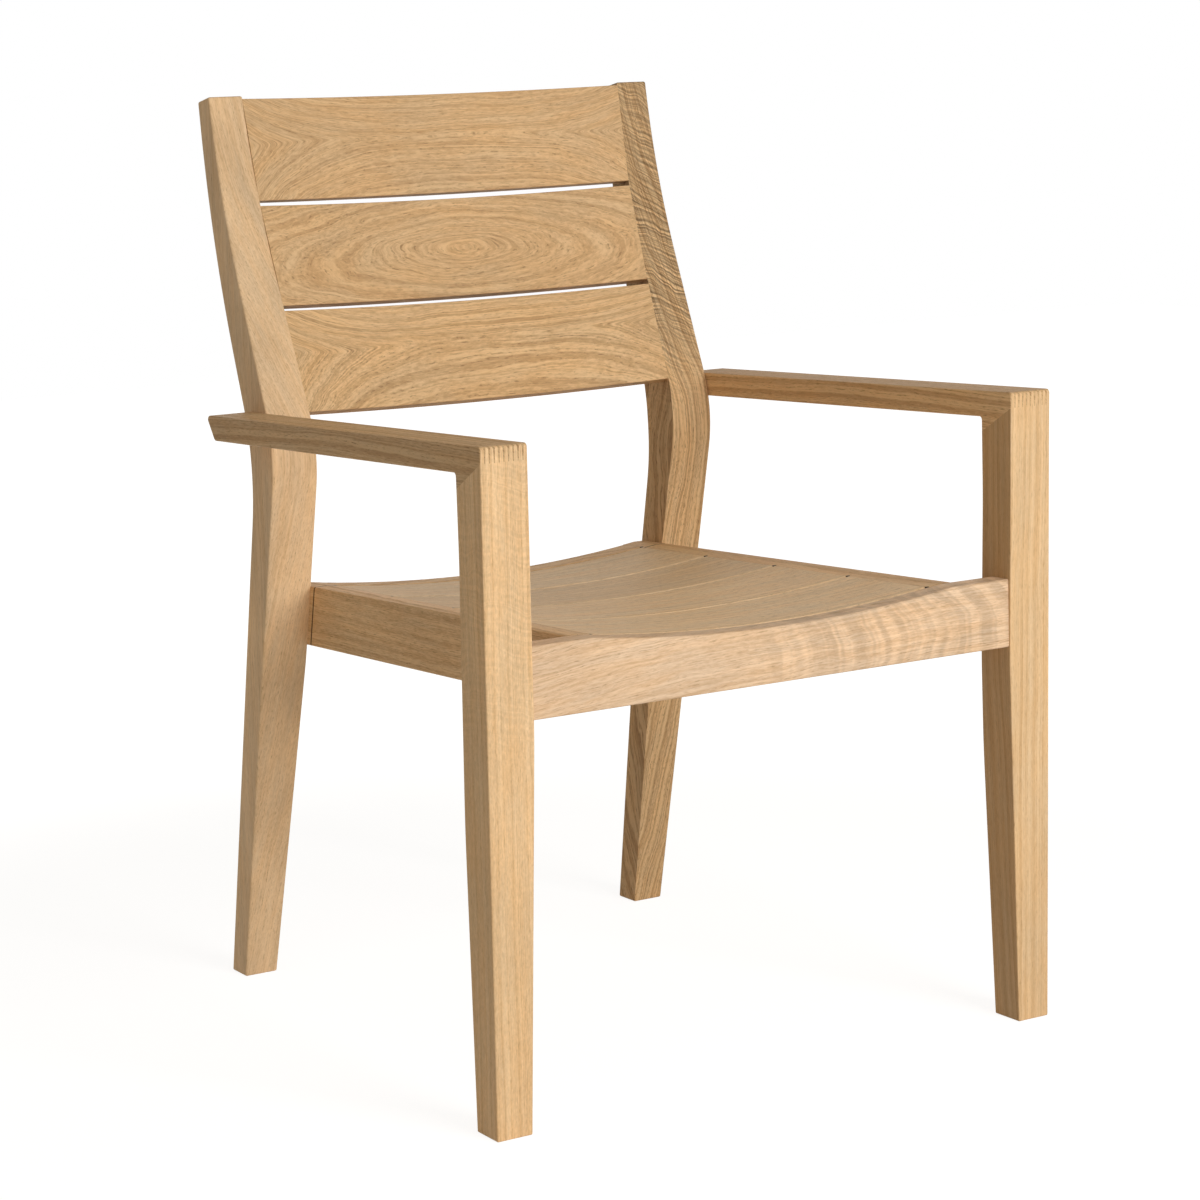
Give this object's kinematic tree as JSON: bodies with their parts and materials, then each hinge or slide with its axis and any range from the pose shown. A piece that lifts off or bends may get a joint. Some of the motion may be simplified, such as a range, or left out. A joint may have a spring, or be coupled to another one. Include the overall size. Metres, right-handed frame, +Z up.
{
  "type": "wooden armchair",
  "caption": "Wooden armchair with a dished board seat, bowed back slats, bent rear posts and arms finger-jointed to the front legs.",
  "frame": {"origin": "on the floor, under the middle of the chair", "axes": "+X to the right of someone who faces the chair, +Y from front to back, +Z up"},
  "size_m": [0.6144, 0.6438, 0.9037],
  "materials": {
    "leg_wood": "satin",
    "arm_wood": "satin",
    "post_wood": "satin",
    "slat_wood": "satin",
    "rail_wood": "satin",
    "board_wood": "satin",
    "dowel_wood": "raw"
  },
  "bodies": {
    "root": {"front_leg_left": "leg_wood", "front_leg_right": "leg_wood", "arm_left": "arm_wood", "arm_right": "arm_wood", "rear_post_left": "post_wood", "rear_post_right": "post_wood", "back_slat_1": "slat_wood", "back_slat_2": "slat_wood", "back_slat_3": "slat_wood", "front_apron": "rail_wood", "rear_seat_rail": "rail_wood", "side_rail_left": "rail_wood", "side_rail_right": "rail_wood", "seat_board_1": "board_wood", "seat_board_2": "board_wood", "seat_board_3": "board_wood", "seat_board_4": "board_wood", "apron_dowels": "dowel_wood", "side_rail_dowels": "dowel_wood", "rear_post_dowels": "dowel_wood", "rear_rail_dowels": "dowel_wood", "seat_board_dowels": "dowel_wood", "back_slat_dowels": "dowel_wood", "arm_dowels": "dowel_wood"}
  },
  "joints": []
}
